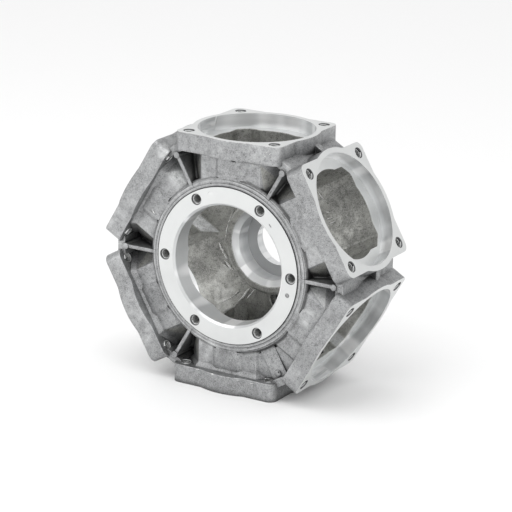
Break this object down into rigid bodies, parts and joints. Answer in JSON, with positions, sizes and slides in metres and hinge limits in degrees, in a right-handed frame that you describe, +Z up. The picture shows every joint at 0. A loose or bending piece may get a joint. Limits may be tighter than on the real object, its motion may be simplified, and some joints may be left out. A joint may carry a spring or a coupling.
{
  "type": "pump housing",
  "caption": "Cast aluminium crankcase of a radial pump: a machined front ring, square cylinder flanges all round, and a rear bearing boss.",
  "frame": {"origin": "centre of the machined front ring's face", "axes": "-Y out of the front ring along the crankshaft axis, +Z up the axis of the top cylinder, +X to the right as seen from the front"},
  "size_m": [0.2876, 0.1294, 0.2586],
  "materials": {
    "cast_aluminium": "as cast, with bright machined faces and bores"
  },
  "bodies": {
    "root": {"pump_housing": "cast_aluminium"}
  },
  "joints": []
}
